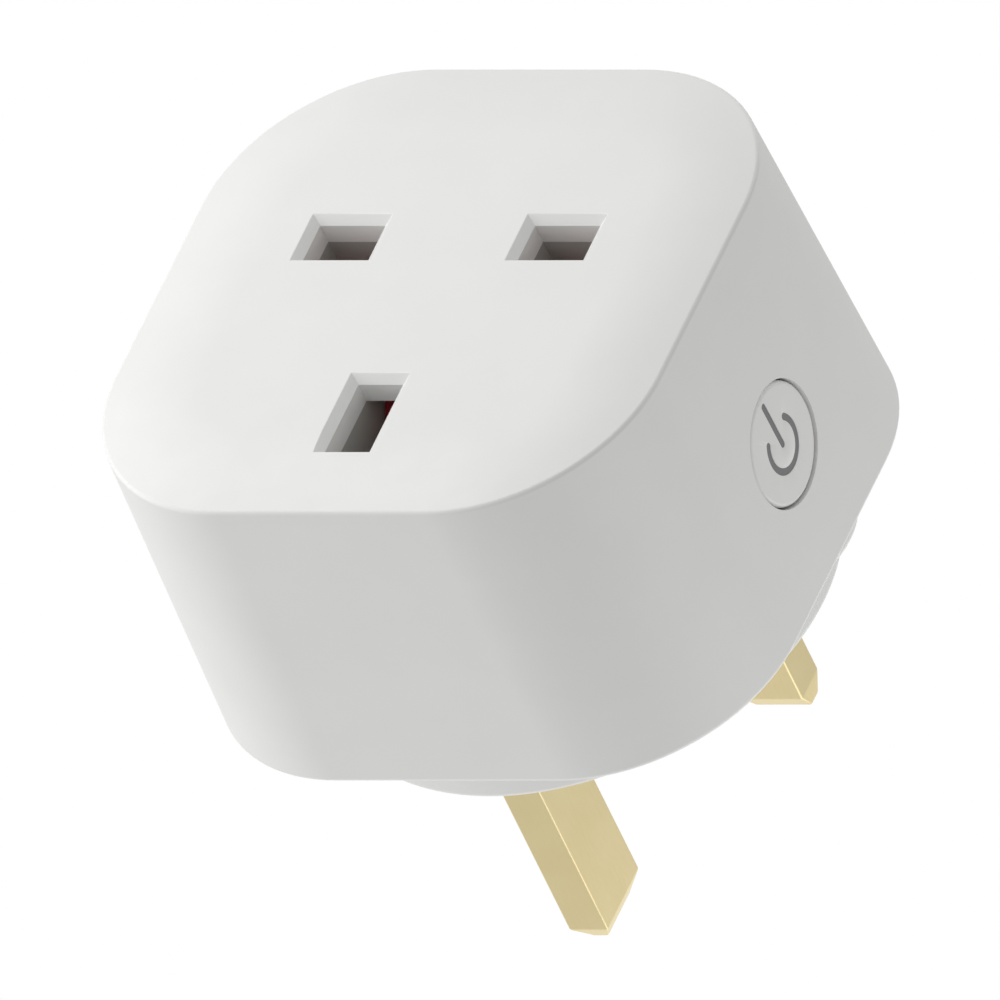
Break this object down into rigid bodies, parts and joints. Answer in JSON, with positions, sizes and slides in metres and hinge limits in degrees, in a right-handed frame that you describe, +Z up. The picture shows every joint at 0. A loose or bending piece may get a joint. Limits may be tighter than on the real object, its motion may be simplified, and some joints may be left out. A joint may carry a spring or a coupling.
{
  "type": "smart plug",
  "caption": "White rounded-square smart plug adaptor: three-aperture shuttered socket on the front, side power button, and flat brass pins on a round boss behind.",
  "frame": {"origin": "centre of the round rear face that meets the wall outlet", "axes": "+Z up with the earth pin at the top, +Y into the wall along the pins, the socket face looks along -Y"},
  "size_m": [0.058, 0.0635, 0.058],
  "materials": {
    "white_housing": "fine satin moulded polycarbonate",
    "button_white": "smooth satin moulded ABS",
    "icon_grey": "dark grey moulded inlay",
    "pin_brass": "solid brass, satin and pale",
    "sleeve_black": "black insulating sleeve",
    "shutter_red": "red moulded acetal",
    "spring_steel": "bright drawn spring wire",
    "carrier_grey": "grey flame-retardant nylon",
    "contact_bronze": "phosphor bronze strip",
    "strap_copper": "tinned copper strip",
    "screw_steel": "zinc-plated steel",
    "board_green": "green solder mask on glass epoxy",
    "board_blue": "blue solder mask on glass epoxy",
    "shield_tin": "tinned steel can",
    "part_black": "black moulded epoxy",
    "relay_blue": "blue relay cover",
    "capacitor_sleeve": "shrink sleeve on an aluminium can",
    "ferrite_grey": "dark grey ferrite",
    "winding_copper": "enamelled copper wire",
    "varistor_blue": "blue epoxy-dipped disc",
    "resistor_green": "pale green coated body",
    "led_clear": "clear resin",
    "shunt_alloy": "resistance alloy strip"
  },
  "bodies": {
    "housing": {"front_housing": "white_housing", "shutter_guide": "carrier_grey", "rear_cover": "white_housing", "cover_screws": "screw_steel", "earth_pin": "pin_brass", "live_pin": "pin_brass", "neutral_pin": "pin_brass", "live_pin_sleeve": "sleeve_black", "neutral_pin_sleeve": "sleeve_black", "pin_retainer": "carrier_grey", "retainer_screws": "screw_steel", "shutter_spring": "spring_steel", "contact_carrier": "carrier_grey", "carrier_screws": "screw_steel", "live_socket_contact": "contact_bronze", "neutral_socket_contact": "contact_bronze", "earth_socket_contact": "contact_bronze", "neutral_strap": "strap_copper", "earth_strap": "strap_copper", "live_input_strap": "strap_copper", "live_output_strap": "strap_copper", "push_switch_body": "part_black", "status_led": "led_clear", "control_board": "board_green", "radio_board": "board_blue", "radio_shield": "shield_tin", "board_header": "part_black", "relay_base": "part_black", "relay_cover": "relay_blue", "bulk_capacitors": "capacitor_sleeve", "inductor_core": "ferrite_grey", "inductor_winding": "winding_copper", "surge_varistor": "varistor_blue", "fusible_resistor": "resistor_green", "bridge_rectifier": "part_black", "converter_chip": "part_black", "metering_chip": "part_black", "current_shunt": "shunt_alloy"},
    "shutter": {"shutter": "shutter_red"},
    "button": {"power_button": "button_white", "button_icon": "icon_grey"},
    "switch_plunger": {"push_switch_plunger": "part_black"}
  },
  "joints": [
    {"name": "shutter_slide", "type": "slide", "parent": "housing", "child": "shutter", "axis": [0, 0, -1], "range_m": [0, 0.005], "stiffness_N_per_m": 200, "springref_m": -0.003, "deforming": ["shutter_spring"]},
    {"name": "button_slide", "type": "slide", "parent": "housing", "child": "button", "axis": [1, 0, 0], "range_m": [0, 0.0003], "stiffness_N_per_m": 4000, "springref_m": -0.0001},
    {"name": "plunger_slide", "type": "slide", "parent": "housing", "child": "switch_plunger", "axis": [1, 0, 0], "range_m": [0, 0.0003]}
  ],
  "couplings": [
    {"joint": "plunger_slide", "follows": "button_slide", "ratio": 1}
  ]
}
